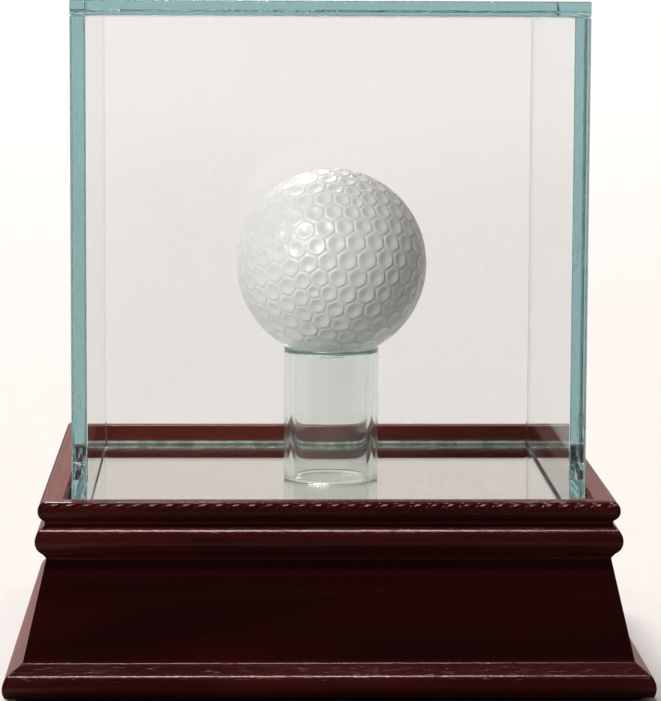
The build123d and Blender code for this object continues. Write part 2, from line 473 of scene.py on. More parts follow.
PANE_GLASS = build_pane_glass()
RISER_GLASS, _, riser_shader, _ = build_glass(
    "riser_glass", rgb(0.965, 0.98, 0.97), 0.00001, rgb(0.20, 0.62, 0.54), 22.0)
riser_shader.inputs["Transmission Weight"].default_value = 0.98
print("glasses:", PANE_GLASS.name, RISER_GLASS.name)

# %% [markdown]
# Where clear adhesive wets two faces, they have no optical surface any more: light goes from
# one pane into the next without bending. So a pane's bonded patches are plain see-through,
# and the film between them shows only where the adhesive has drawn back into bubbles. At the
# back pane's foot it is rubbed over the ground corner, and there it dries as a milky line.

# %% Adhesive
COVER_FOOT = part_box("glass_left")[0].z
LINE_HEIGHT = 0.9 * MM


def build_film():
    """Clear cured adhesive: bubbles near its lower ends, and a milky line at the very foot."""
    material, tree, shader, _ = new_material("cured_film")
    place = object_place(tree)
    streaks = noise_at(tree, vector_calc(tree, "MULTIPLY", place, (1500, 1500, 260)), 1.0, 3, 0.6, 0.6)
    bubbles = smooth_step(tree, streaks, 0.56, 0.62)
    height = add(tree, "ShaderNodeSeparateXYZ", {0: place}).outputs["Z"]
    near_foot = smooth_step(tree, height, 0.040, 0.058, 1.0, 0.10)
    mask = calc(tree, "MULTIPLY", bubbles, near_foot)
    line_top = COVER_FOOT + LINE_HEIGHT
    in_line = smooth_step(tree, height, line_top, line_top + 0.05 * MM, 1.0, 0.0)
    patchy = smooth_step(tree, noise_at(tree, place, 260, 3, 0.6), 0.38, 0.62, 0.55, 0.95)
    line = calc(tree, "MULTIPLY", in_line, patchy)
    tone = blend_colours(tree, streaks, rgb(0.50, 0.58, 0.58), rgb(0.70, 0.76, 0.75))
    milky = blend_colours(tree, patchy, rgb(0.36, 0.52, 0.42), rgb(0.92, 0.96, 0.88))
    plug(tree, shader.inputs["Base Color"], blend_colours(tree, in_line, tone, milky))
    plug(tree, shader.inputs["Roughness"], calc(tree, "ADD", 0.15, calc(tree, "MULTIPLY", streaks, 0.2)))
    thin = calc(tree, "ADD", 0.02, calc(tree, "MULTIPLY", mask, 0.55))
    plug(tree, shader.inputs["Alpha"], calc(tree, "MAXIMUM", thin, line))
    return material


CURED_FILM = build_film()
print(CURED_FILM.name, "has its milky line up to", round(LINE_HEIGHT / MM, 2), "mm above the foot")

# %% [markdown]
# The mirror is silvered on its back, so the silver is a metal surface under clear glass. Old
# silvering is never quite even: it clouds a little, and shows a few pinholes.

# %% Silvering


def build_silvering():
    """Silver on the back of the mirror, very slightly cloudy, with a few pinholes."""
    material, tree, shader, _ = new_material("silvering")
    cloud = group_in(tree, MOTTLE, {"Place": object_place(tree), "Broad": 35.0, "Fine": 2600.0})
    pinholes = smooth_step(tree, cloud["Fine"], 0.985, 1.0)
    silver = blend_colours(tree, cloud["Broad"], rgb(0.77, 0.755, 0.74), rgb(0.74, 0.73, 0.715))
    plug(tree, shader.inputs["Base Color"], blend_colours(tree, pinholes, silver, rgb(0.35, 0.33, 0.31)))
    plug(tree, shader.inputs["Roughness"], calc(tree, "MULTIPLY", cloud["Broad"], 0.02))
    shader.inputs["Metallic"].default_value = 1.0
    return material


SILVERING = build_silvering()
print(SILVERING.name, "is ready")

# %% [markdown]
# ## The ball, and the plain stuff inside the base
#
# The ball's cover is white plastic under a thin clear coat. The boards, blocks, screws, tape
# and felt are only seen from below or when the case comes apart, but each is what it is:
# pressed fibre, sawn pine, zinc plate, a creped tape and a fuzzy felt.

# %% Ball materials


def build_ball_cover():
    """White moulded plastic under a clear coat, with the least film of dust on top."""
    material, tree, shader, _ = new_material("ball_cover")
    place = object_place(tree)
    skin = group_in(tree, MOTTLE, {"Place": place, "Broad": 90.0, "Fine": 2200.0})
    dust = group_in(tree, DUST, {"Place": place, "Amount": 0.06})["Mask"]
    white = blend_colours(tree, skin["Broad"], rgb(0.76, 0.755, 0.745), rgb(0.80, 0.80, 0.79))
    plug(tree, shader.inputs["Base Color"], blend_colours(tree, dust, white, rgb(0.55, 0.52, 0.48)))
    rough = calc(tree, "ADD", 0.38, calc(tree, "MULTIPLY", skin["Fine"], 0.10))
    plug(tree, shader.inputs["Roughness"], rough)
    plug(tree, shader.inputs["Normal"], bump(tree, skin["Height"], 0.00001, 0.3))
    shader.inputs["Coat Weight"].default_value = 0.25
    shader.inputs["Coat Roughness"].default_value = 0.24
    return material


def build_plain(name, dark, light, broad, fine, roughness, depth, metallic=0.0, dusty=0.0):
    """A mottled solid finish between two colours."""
    material, tree, shader, _ = new_material(name)
    place = object_place(tree)
    skin = group_in(tree, MOTTLE, {"Place": place, "Broad": broad, "Fine": fine})
    tone = blend_colours(tree, skin["Broad"], dark, light)
    tone = blend_colours(tree, calc(tree, "MULTIPLY", skin["Fine"], 0.5), tone, dark)
    if dusty:
        dust = group_in(tree, DUST, {"Place": place, "Amount": dusty})["Mask"]
        tone = blend_colours(tree, dust, tone, rgb(0.5, 0.47, 0.43))
    plug(tree, shader.inputs["Base Color"], tone)
    rough = calc(tree, "ADD", roughness - 0.06, calc(tree, "MULTIPLY", skin["Fine"], 0.12))
    plug(tree, shader.inputs["Roughness"], rough)
    plug(tree, shader.inputs["Normal"], bump(tree, skin["Height"], depth))
    shader.inputs["Metallic"].default_value = metallic
    return material, shader


BALL_COVER = build_ball_cover()
print(BALL_COVER.name, "is ready")

# %% Rubber, board, zinc, tape and felt
BALL_RUBBER, _ = build_plain(
    "ball_rubber", rgb(0.10, 0.08, 0.16), rgb(0.16, 0.13, 0.24), 120, 2500, 0.7, 0.00003)
PRESSED_BOARD, _ = build_plain(
    "pressed_board", rgb(0.10, 0.050, 0.024), rgb(0.17, 0.092, 0.046), 45, 1600, 0.62, 0.00006)
ZINC, _ = build_plain(
    "zinc", rgb(0.50, 0.50, 0.47), rgb(0.66, 0.66, 0.63), 500, 4000, 0.32, 0.00001, metallic=1.0)
TAPE, _ = build_plain(
    "tape", rgb(0.66, 0.64, 0.56), rgb(0.78, 0.76, 0.70), 80, 1500, 0.7, 0.00004)
FELT, felt_shader = build_plain(
    "felt", rgb(0.010, 0.010, 0.011), rgb(0.026, 0.026, 0.028), 120, 3200, 0.95, 0.0004)
felt_shader.inputs["Sheen Weight"].default_value = 0.6
felt_shader.inputs["Sheen Roughness"].default_value = 0.5
print("plain finishes:", [m.name for m in (BALL_RUBBER, PRESSED_BOARD, ZINC, TAPE, FELT)])

# %% Sawn pine


def build_pine():
    """Pale sawn softwood, with its grain upright in the corner blocks."""
    material, tree, shader, _ = new_material("sawn_pine")
    turned = add(tree, "ShaderNodeMapping", {"Vector": object_place(tree), "Rotation": (0, pi / 2, 0)})
    wood = group_in(tree, GRAIN, {"Place": turned.outputs[0]})
    tone = blend_colours(tree, wood["Figure"], rgb(0.56, 0.36, 0.17), rgb(0.42, 0.24, 0.10))
    plug(tree, shader.inputs["Base Color"], blend_colours(tree, wood["Streaks"], tone, rgb(0.60, 0.42, 0.22)))
    rough = calc(tree, "ADD", 0.65, calc(tree, "MULTIPLY", wood["Pores"], 0.2))
    plug(tree, shader.inputs["Roughness"], rough)
    plug(tree, shader.inputs["Normal"], bump(tree, wood["Streaks"], 0.00008))
    return material


SAWN_PINE = build_pine()
print("materials:", len(bpy.data.materials))

# %% [markdown]
# ## The floor
#
# The case stands on pale studio paper that runs far past the view. Dark gloss wood shows what
# is in front of it, so a studio lays a dark card there. Here the paper does both: light
# that has already been reflected once finds it dark in front of the case, and everything else
# sees it pale. It is only a stage, and is no part of the object.

# %% Floor
FLOOR_RADIUS = 30.0
CARD_FAR, CARD_NEAR = -0.26, -0.07


def build_paper():
    """Pale studio paper, which gives reflected light little return from in front of the case."""
    material, tree, shader, _ = new_material("graduated_paper")
    place = object_place(tree)
    skin = group_in(tree, MOTTLE, {"Place": place, "Broad": 3.0, "Fine": 200.0})
    towards = add(tree, "ShaderNodeSeparateXYZ", {0: place}).outputs["Y"]
    # The paper is coloured a little darker near the case than far off: painted shade.
    near, far = rgb(0.85, 0.80, 0.77), rgb(0.93, 0.875, 0.845)
    pale = blend_colours(tree, smooth_step(tree, towards, 0.3, 3.0), near, far)
    off_card = smooth_step(tree, towards, CARD_FAR, CARD_NEAR)
    shaded = blend_colours(tree, off_card, rgb(0.06, 0.058, 0.056), pale)
    path = add(tree, "ShaderNodeLightPath").outputs
    bounced = calc(tree, "MINIMUM", calc(tree, "ADD", path["Diffuse Depth"], path["Glossy Depth"]), 1)
    plug(tree, shader.inputs["Base Color"], blend_colours(tree, bounced, pale, shaded))
    rough = calc(tree, "ADD", 0.85, calc(tree, "MULTIPLY", skin["Fine"], 0.1))
    plug(tree, shader.inputs["Roughness"], rough)
    return material


def build_floor():
    """A pale paper floor, much wider than the view."""
    disc = bmesh.new()
    bmesh.ops.create_circle(disc, cap_ends=True, segments=64, radius=FLOOR_RADIUS)
    mesh = bpy.data.meshes.new("studio_floor")
    disc.to_mesh(mesh)
    floor = bpy.data.objects.new("studio_floor", mesh)
    bpy.context.collection.objects.link(floor)
    mesh.materials.append(build_paper())


build_floor()
print("the floor is a disc of", FLOOR_RADIUS, "m radius")

# %% [markdown]
# ## Geometry Nodes helpers
#
# The carved moulding and the dimpled ball both follow a rule, so Geometry Nodes make them.
# `new_tree` gives a tree its named inputs, and `grow` runs it on an object, keeps the result
# as a plain mesh and takes the modifier off again.

# %% Tree and grow


def new_tree(name, inputs):
    """A Geometry Nodes tree with these named inputs after its Geometry: the tree and its sockets."""
    tree = bpy.data.node_groups.new(name, "GeometryNodeTree")
    tree.interface.new_socket("Geometry", in_out="INPUT", socket_type="NodeSocketGeometry")
    for label, kind in inputs.items():
        tree.interface.new_socket(label, in_out="INPUT", socket_type=f"NodeSocket{kind}")
    tree.interface.new_socket("Geometry", in_out="OUTPUT", socket_type="NodeSocketGeometry")
    return tree, tree.nodes.new("NodeGroupInput").outputs


def end_tree(tree, geometry, material):
    """The last nodes of every tree: smooth shading, real geometry and a material."""
    shaded = add(tree, "GeometryNodeSetShadeSmooth", {"Geometry": geometry, "Shade Smooth": True})
    real = add(tree, "GeometryNodeRealizeInstances", {"Geometry": shaded.outputs[0]})
    finish = add(tree, "GeometryNodeSetMaterial", {"Geometry": real.outputs[0], "Material": material})
    add(tree, "NodeGroupOutput", {"Geometry": finish.outputs[0]})


def grow(name, tree, values, seed=None):
    """Runs a tree with these inputs on a seed mesh and gives the result as a plain mesh object."""
    piece = bpy.data.objects.new(name, seed or bpy.data.meshes.new(name))
    bpy.context.collection.objects.link(piece)
    modifier = piece.modifiers.new("grow", "NODES")
    modifier.node_group = tree
    named = {item.name: item.identifier for item in tree.interface.items_tree if item.in_out == "INPUT"}
    for label, value in values.items():
        modifier[named[label]] = value
    graph = bpy.context.evaluated_depsgraph_get()
    mesh = bpy.data.meshes.new_from_object(piece.evaluated_get(graph), depsgraph=graph)
    piece.modifiers.remove(modifier)
    piece.data = mesh
    if mesh.materials and mesh.materials[0] is None:
        mesh.materials.pop(index=0)
    mesh.name = name
    print(f"{name}: {len(mesh.vertices)} points, {len(mesh.polygons)} faces")
    return piece


def settle(piece, body, slot, *nodes):
    """Makes a finished piece ride on its body, in place of its CAD nodes."""
    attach(piece, body)
    if nodes:
        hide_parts(*nodes)
    return piece


# %% [markdown]
# ## The moulding's section
#
# All four sides of the base are one moulding: a rail with a carved edge, two beads with a
# groove between them, a sloping skirt and a plinth. The section is drawn once, as distance
# out from the middle of the case against height. Its round stretches are arcs, and its sharp
# corners are eased, because lacquer on a knife edge would crack and because an eased corner
# is what catches the light.

# %% Outline tools
HOLD = 1.15


def arc(start, middle, end, steps=10):
    """Points along the circle through three points, from start up to but not including end."""
    (ax, ay), (bx, by), (cx, cy) = start, middle, end
    twice = 2 * (ax * (by - cy) + bx * (cy - ay) + cx * (ay - by))
    squares = [x * x + y * y for x, y in (start, middle, end)]
    ox = (squares[0] * (by - cy) + squares[1] * (cy - ay) + squares[2] * (ay - by)) / twice
    oy = (squares[0] * (cx - bx) + squares[1] * (ax - cx) + squares[2] * (bx - ax)) / twice
    centre = Vector((ox, oy))
    spokes = [Vector(p) - centre for p in (start, middle, end)]
    sweep = spokes[0].angle_signed(spokes[1]) + spokes[1].angle_signed(spokes[2])
    return [centre + Matrix.Rotation(-sweep * i / steps, 2) @ spokes[0] for i in range(steps)]


def ease(outline, size, least_turn=radians(20), steps=4):
    """Rounds the sharp corners of a closed outline, cutting each back by about size.

    A holding point just past each end of a rounding keeps the flats beside it flat when shaded.
    """
    eased = []
    for i, point in enumerate(outline):
        corner = Vector(point)
        before = Vector(outline[i - 1]) - corner
        after = Vector(outline[(i + 1) % len(outline)]) - corner
        if pi - before.angle(after) < least_turn:
            eased.append(corner)
            continue
        start = before.normalized() * min(size, before.length * 0.4)
        end = after.normalized() * min(size, after.length * 0.4)
        eased.append(corner + start * HOLD)
        for step in range(steps + 1):
            t = step / steps
            eased.append(corner + (1 - t) ** 2 * start + t * t * end)
        eased.append(corner + end * HOLD)
    return eased


# %% The section
rail_foot, rail_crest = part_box("moulding_front")
NOSE = -rail_foot.y / MM
WALL_INNER = -rail_crest.y / MM
WOOD_FOOT, RAIL_TOP = rail_foot.z / MM, rail_crest.z / MM
RAIL_INNER = 55.85
PANEL_RECESS, PANEL_TOP, LEDGE = 58.0, 3.8, 31.7


def moulding_section():
    """The closed outline in mm, from the inner ledge up over the rail and down to the foot."""
    rail_shoulder, groove_top, groove_foot, bead_foot = (60.88, 39.4), (59.8, 37.1), (59.9, 35.7), (60, 30)
    skirt_top, skirt_foot, bevel_foot = (59.2, 29.0), (64.0, 7.7), (66.9, 5.7)
    outline = [(WALL_INNER, LEDGE), (RAIL_INNER, LEDGE), (RAIL_INNER, RAIL_TOP)]
    outline += arc((59.5, RAIL_TOP), (60.45, 40.5), rail_shoulder, 8)
    outline += arc(rail_shoulder, (60.75, 38.3), groove_top, 10)
    outline += arc(groove_top, (59.45, 36.4), groove_foot, 8)
    outline += arc(groove_foot, (61.5, 33.0), bead_foot, 18)
    outline += [bead_foot, skirt_top, skirt_foot]
    outline += arc(bevel_foot, (NOSE - 0.02, 2.6), (67.5, WOOD_FOOT), 14)
    outline += [(67.5, WOOD_FOOT), (PANEL_RECESS, WOOD_FOOT)]
    outline += [(PANEL_RECESS, PANEL_TOP), (WALL_INNER, PANEL_TOP)]
    return ease(outline, 0.35)


def section_curve(outline):
    """The outline as a closed poly curve, x out and y up, in metres."""
    curve = bpy.data.curves.new("section", "CURVE")
    curve.dimensions = "3D"
    line = curve.splines.new("POLY")
    line.points.add(len(outline) - 1)
    for point, (out, height) in zip(line.points, outline):
        point.co = (out * MM, height * MM, 0, 1)
    line.use_cyclic_u = True
    holder = bpy.data.objects.new("section", curve)
    bpy.context.collection.objects.link(holder)
    return holder


section = moulding_section()
print("points round the section:", len(section))

# %% [markdown]
# ## The carved moulding
#
# A length of moulding is a grid wrapped round its section: one way the grid runs along the
# length, the other way round the outline. A point that stands further out belongs to a
# longer line, so stretching each line to its own distance out makes the mitres by itself.
#
# The rail's edge is carved like a rope: slanting notches at an even pitch. The tree presses
# them into the grid along its normals, only on the rail's shoulder, and fades them out just
# before the mitre, so that the corners still close.

# %% Moulding tree
ROPE_REPEATS = 35
COLUMNS_PER_NOTCH = 12
NOTCH_SHARPNESS = 6
CARVING_FADE = 0.4 * MM
MITRE_FADE = (0.2 * MM, 0.8 * MM)


def build_moulding_tree():
    """A grid wrapped round the section, carved, closed at its mitres and turned into place."""
    tree, given = new_tree("carved_moulding", {
        "Section": "Object", "Columns": "Int", "Half Length": "Float", "Repeats": "Float",
        "Notch Depth": "Float", "Notch Slant": "Float", "Carving Start": "Float", "Carving End": "Float",
        "Turn": "Float", "Grain Offset": "Float", "Finish": "Material"})
    line = add(tree, "GeometryNodeObjectInfo", {"Object": given["Section"]}).outputs["Geometry"]
    count = add(tree, "GeometryNodeAttributeDomainSize", {"Geometry": line}, component="CURVE").outputs[0]
    rows = calc(tree, "ADD", count, 1)
    grid = add(tree, "GeometryNodeMeshGrid", {
        "Size X": 1.0, "Size Y": 1.0, "Vertices X": given["Columns"], "Vertices Y": rows})
    where = add(tree, "ShaderNodeSeparateXYZ", {0: add(tree, "GeometryNodeInputPosition").outputs[0]}).outputs
    row = calc(tree, "ROUND", calc(tree, "MULTIPLY", calc(tree, "ADD", where["Y"], 0.5), count))

    def on_section(value, kind):
        """What the section's point of this row says."""
        index = calc(tree, "MODULO", row, count)
        picker = add(tree, "GeometryNodeSampleIndex", {
            "Geometry": line, "Value": value, "Index": index}, data_type=kind)
        return picker.outputs[0]

    spot = on_section(add(tree, "GeometryNodeInputPosition").outputs[0], "FLOAT_VECTOR")
    spot = add(tree, "ShaderNodeSeparateXYZ", {0: spot}).outputs
    girth = on_section(add(tree, "GeometryNodeSplineParameter").outputs["Length"], "FLOAT")
    across = calc(tree, "MULTIPLY", calc(tree, "MULTIPLY", where["X"], 2), spot["X"])
    kept = add(tree, "GeometryNodeStoreNamedAttribute", {
        "Geometry": grid.outputs[0], "Name": "girth", "Value": girth}, data_type="FLOAT", domain="POINT")
    towards = calc(tree, "MULTIPLY", spot["X"], -1)
    placed = add(tree, "ShaderNodeCombineXYZ", {0: across, 1: towards, 2: spot["Y"]}).outputs[0]
    wrapped = add(tree, "GeometryNodeSetPosition", {"Geometry": kept.outputs[0], "Position": placed})
    outward = add(tree, "GeometryNodeFlipFaces", {"Mesh": wrapped.outputs[0]})
    carved = carve_rope(tree, given, outward.outputs[0])
    ends = mitre_faces(tree, line)
    whole = add(tree, "GeometryNodeJoinGeometry")
    for part in (ends, carved):
        tree.links.new(part, whole.inputs[0])
    closed = add(tree, "GeometryNodeMergeByDistance", {"Geometry": whole.outputs[0], "Distance": 0.000002})
    turn = add(tree, "ShaderNodeCombineXYZ", {2: given["Turn"]}).outputs[0]
    turned = add(tree, "GeometryNodeTransform", {"Geometry": closed.outputs[0], "Rotation": turn})
    end_tree(tree, turned.outputs[0], given["Finish"])
    return tree


def carve_rope(tree, given, geometry):
    """Presses the slanting notches into the rail's shoulder, and stores where the grain runs."""
    place = add(tree, "ShaderNodeSeparateXYZ", {0: add(tree, "GeometryNodeInputPosition").outputs[0]}).outputs
    girth = add(tree, "GeometryNodeInputNamedAttribute", {"Name": "girth"}, data_type="FLOAT").outputs[0]
    start, end = given["Carving Start"], given["Carving End"]
    slant = calc(tree, "MULTIPLY", given["Notch Slant"], calc(tree, "SUBTRACT", girth, start))
    slanted = calc(tree, "ADD", place["X"], slant)
    length = calc(tree, "MULTIPLY", given["Half Length"], 2)
    turns = calc(tree, "DIVIDE", calc(tree, "MULTIPLY", slanted, given["Repeats"]), length)
    wave = calc(tree, "ABSOLUTE", calc(tree, "COSINE", calc(tree, "MULTIPLY", turns, pi)))
    groove = calc(tree, "POWER", wave, NOTCH_SHARPNESS)
    starts = smooth_step(tree, girth, start, calc(tree, "ADD", start, CARVING_FADE))
    stops = smooth_step(tree, girth, calc(tree, "SUBTRACT", end, CARVING_FADE), end, 1, 0)
    out = calc(tree, "MULTIPLY", place["Y"], -1)
    to_mitre = calc(tree, "SUBTRACT", out, calc(tree, "ABSOLUTE", place["X"]))
    inside = smooth_step(tree, to_mitre, *MITRE_FADE)
    mask = calc(tree, "MULTIPLY", calc(tree, "MULTIPLY", starts, stops), inside)
    depth = calc(tree, "MULTIPLY", calc(tree, "MULTIPLY", groove, mask), given["Notch Depth"])
    facing = add(tree, "GeometryNodeInputNormal").outputs[0]
    push = vector_calc(tree, "SCALE", facing, calc(tree, "MULTIPLY", depth, -1))
    along = calc(tree, "ADD", place["X"], given["Grain Offset"])
    run = add(tree, "ShaderNodeCombineXYZ", {0: along, 1: girth})
    mapped = add(tree, "GeometryNodeStoreNamedAttribute", {
        "Geometry": geometry, "Name": "run", "Value": run.outputs[0]}, data_type="FLOAT2", domain="CORNER")
    return add(tree, "GeometryNodeSetPosition", {"Geometry": mapped.outputs[0], "Offset": push}).outputs[0]


def mitre_faces(tree, line):
    """The two slanting cut faces that close the ends of a length."""
    face = add(tree, "GeometryNodeFillCurve", {"Curve": line}, mode="NGONS").outputs[0]
    flat = add(tree, "ShaderNodeSeparateXYZ", {0: add(tree, "GeometryNodeInputPosition").outputs[0]}).outputs
    back = calc(tree, "MULTIPLY", flat["X"], -1)
    both = add(tree, "GeometryNodeJoinGeometry")
    for side, flipped in ((flat["X"], False), (back, True)):
        spot = add(tree, "ShaderNodeCombineXYZ", {0: side, 1: back, 2: flat["Y"]}).outputs[0]
        end = add(tree, "GeometryNodeSetPosition", {"Geometry": face, "Position": spot}).outputs[0]
        if flipped:
            end = add(tree, "GeometryNodeFlipFaces", {"Mesh": end}).outputs[0]
        tree.links.new(end, both.inputs[0])
    return both.outputs[0]


MOULDING_TREE = build_moulding_tree()
print(MOULDING_TREE.name, "tree has", len(MOULDING_TREE.nodes), "nodes")

# %% The four lengths


def length_to(outline, out, height):
    """How far round the outline, in mm, the point nearest to a place lies."""
    steps = [0.0]
    for before, after in zip(outline, outline[1:]):
        steps.append(steps[-1] + (after - before).length)
    nearest = min(range(len(outline)), key=lambda i: (outline[i] - Vector((out, height))).length)
    return steps[nearest]


CARVED_FROM, CARVED_TO = length_to(section, 60.0, 40.9) * MM, length_to(section, 60.85, 38.9) * MM
section_holder = section_curve(section)
for turn, side in enumerate(("front", "right", "back", "left")):
    piece = grow(f"carved_moulding_{side}", MOULDING_TREE, {
        "Section": section_holder, "Columns": ROPE_REPEATS * COLUMNS_PER_NOTCH + 1,
        "Half Length": 60.7 * MM, "Repeats": float(ROPE_REPEATS), "Notch Depth": 0.42 * MM,
        "Notch Slant": 0.9, "Carving Start": CARVED_FROM, "Carving End": CARVED_TO,
        "Turn": turn * pi / 2, "Grain Offset": turn * 0.37, "Finish": STAINED_WOOD})
    settle(piece, "base", "stained_hardwood", f"moulding_{side}")
bpy.data.objects.remove(section_holder)

# %% [markdown]
# ## Turned pieces
#
# The riser is a short thick ring of glass. It is turned: an outline is spun round an upright
# axis. Its mouth is ground to the ball's own curve, and its edges are eased. A thin ring of
# adhesive holds it to the mirror.

# %% Lathe


def mesh_piece(name, shape, material, sharp=radians(35)):
    """A bmesh as a smooth-shaded object with sharp edges kept, at the origin."""
    mesh = bpy.data.meshes.new(name)
    bmesh.ops.recalc_face_normals(shape, faces=shape.faces)
    shape.to_mesh(mesh)
    shape.free()
    mesh.materials.append(material)
    mesh.shade_smooth()
    mesh.set_sharp_from_angle(angle=sharp)
    piece = bpy.data.objects.new(name, mesh)
    bpy.context.collection.objects.link(piece)
    return piece


def lathe(outline, centre, segments=128):
    """Spins a closed outline of (radius, height), in metres, round an upright axis at centre."""
    shape = bmesh.new()
    rings = []
    for step in range(segments):
        angle = 2 * pi * step / segments
        rings.append([shape.verts.new((centre.x + r * cos(angle), centre.y + r * sin(angle), z))
                      for r, z in outline])
    for ring, following in zip(rings, rings[1:] + rings[:1]):
        for i in range(len(outline)):
            j = (i + 1) % len(outline)
            shape.faces.new((ring[i], following[i], following[j], ring[j]))
    return shape


print("the lathe is ready")

# %% Riser
RISER_BORE = 8.2 * MM
SEAT_GAP = 0.15 * MM
SEAT_STEPS = 5
ball_low, ball_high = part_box("ball_shell")
ball_centre = (ball_low + ball_high) / 2
ball_radius = (ball_high.z - ball_low.z) / 2


def build_riser():
    """The glass ring, with its mouth ground to fit the ball."""
    low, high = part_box("riser_tube")
    centre, outer = (low + high) / 2, (high.x - low.x) / 2
    seat = ball_radius + SEAT_GAP
    drop = ball_centre.z - high.z
    rim = sqrt(seat ** 2 - drop ** 2)
    outline = [(RISER_BORE, low.z), (outer, low.z), (outer, high.z)]
    for step in range(SEAT_STEPS + 1):
        radius = rim + (RISER_BORE - rim) * step / SEAT_STEPS
        outline.append((radius, ball_centre.z - sqrt(seat ** 2 - radius ** 2)))
    eased = ease(outline, 0.4 * MM, least_turn=radians(25))
    return mesh_piece("glass_ring", lathe(eased, centre), RISER_GLASS)


settle(build_riser(), "base", "riser_glass", "riser_tube")


def build_riser_film():
    """The ring of adhesive that holds the riser to the mirror."""
    low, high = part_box("riser_bond")
    centre, outer = (low + high) / 2, (high.x - low.x) / 2 - 0.3 * MM
    inner, gap = RISER_BORE + 0.5 * MM, 0.02 * MM
    outline = [(inner, low.z + gap), (outer, low.z + gap), (outer, high.z - gap), (inner, high.z - gap)]
    return mesh_piece("riser_film", lathe(outline, centre), CURED_FILM)


settle(build_riser_film(), "base", "clear_adhesive", "riser_bond")
print("riser bore:", round(2 * RISER_BORE / MM, 1), "mm; ball:", round(2 * ball_radius / MM, 2), "mm")

# %% [markdown]
# ## The dimpled ball
#
# A golf ball's dimples are laid out on an icosahedron: cut each of its twenty faces into six
# rows and 362 corners come out, one dimple on each. Geometry Nodes turn that net inside out
# (Dual Mesh), so that every corner becomes a six-sided cell, fan each cell into triangles,
# and cut those into rings. The inner rings are then drawn into true circles and sunk, and
# the outer ring stays where it meets its neighbours.

# %% Geodesic net


def geodesic(frequency):
    """A unit sphere of triangles: an icosahedron with each face cut into this many rows."""
    golden = (1 + sqrt(5)) / 2
    corners = [Vector(p).normalized() for s in (-1, 1) for t in (-golden, golden)
               for p in ((0, s, t), (s, t, 0), (t, 0, s))]
    edge = min((a - b).length for a in corners for b in corners if a is not b) * 1.01
    net = bmesh.new()
    near = {i: [j for j, b in enumerate(corners) if 0 < (corners[i] - b).length < edge] for i in range(12)}
    for i in range(12):
        for j in (n for n in near[i] if n > i):
            for k in (n for n in near[i] if n > j and n in near[j]):
                cut_face(net, corners[i], corners[j], corners[k], frequency)
    bmesh.ops.remove_doubles(net, verts=net.verts, dist=0.001)
    bmesh.ops.recalc_face_normals(net, faces=net.faces)
    return net


def cut_face(net, a, b, c, rows):
    """Adds one face's triangles, pushed out on to the unit sphere."""
    points = {}
    for down in range(rows + 1):
        for along in range(down + 1):
            spot = a + (b - a) * (down - along) / rows + (c - a) * along / rows
            points[down, along] = net.verts.new(spot.normalized())
    for down in range(rows):
        for along in range(down + 1):
            net.faces.new((points[down, along], points[down + 1, along], points[down + 1, along + 1]))
            if along < down:
                net.faces.new((points[down, along], points[down + 1, along + 1], points[down, along + 1]))


print("the net's helpers are ready")

# %% Ball tree
RINGS = 8
RIM_RING = 6 / RINGS
BOWL_POWER = 1.6
CLOSEST = 0.175 * MM


def build_ball_tree():
    """Cells, cut into rings, with a round dimple sunk in each."""
    tree, given = new_tree("dimpled_ball", {
        "Ball Radius": "Float", "Dimple Share": "Float", "Dimple Depth": "Float",
        "Centre": "Vector", "Tilt": "Vector", "Cover": "Material"})
    here = add(tree, "GeometryNodeInputPosition").outputs[0]
    cells = add(tree, "GeometryNodeDualMesh", {0: given["Geometry"]}).outputs[0]
    size = calc(tree, "SQRT", calc(tree, "DIVIDE", add(tree, "GeometryNodeInputMeshFaceArea").outputs[0], pi))
    cells = remember(tree, cells, "cell_centre", vector_calc(tree, "NORMALIZE", here), "FLOAT_VECTOR", "FACE")
    cells = remember(tree, cells, "cell_size", size, "FLOAT", "FACE")
    fans = add(tree, "GeometryNodeExtrudeMesh", {"Mesh": cells, "Offset Scale": 0.0, "Individual": True})
    ring = calc(tree, "SUBTRACT", 1, fans.outputs["Top"])
    ringed = remember(tree, fans.outputs[0], "ring", ring, "FLOAT", "POINT")
    pinched = add(tree, "GeometryNodeScaleElements", {
        "Geometry": ringed, "Selection": fans.outputs["Top"], "Scale": 0.0}, domain="FACE")
    joined = add(tree, "GeometryNodeMergeByDistance", {"Geometry": pinched.outputs[0], "Distance": 0.0001})
    fine = add(tree, "GeometryNodeSubdivideMesh", {"Mesh": joined.outputs[0], "Level": 3}).outputs[0]
    place = dimple_shape(tree, given, here)
    shaped = add(tree, "GeometryNodeSetPosition", {"Geometry": fine, "Position": place})
    shaped = add(tree, "GeometryNodeMergeByDistance", {"Geometry": shaped.outputs[0], "Distance": CLOSEST})
    moved = add(tree, "GeometryNodeTransform", {
        "Geometry": shaped.outputs[0], "Translation": given["Centre"], "Rotation": given["Tilt"]})
    end_tree(tree, moved.outputs[0], given["Cover"])
    return tree


def remember(tree, geometry, name, value, kind, domain):
    """Stores a value on the geometry under a name."""
    return add(tree, "GeometryNodeStoreNamedAttribute", {
        "Geometry": geometry, "Name": name, "Value": value}, data_type=kind, domain=domain).outputs[0]


def recall(tree, name, kind="FLOAT"):
    """Reads a stored value back."""
    return add(tree, "GeometryNodeInputNamedAttribute", {"Name": name}, data_type=kind).outputs[0]


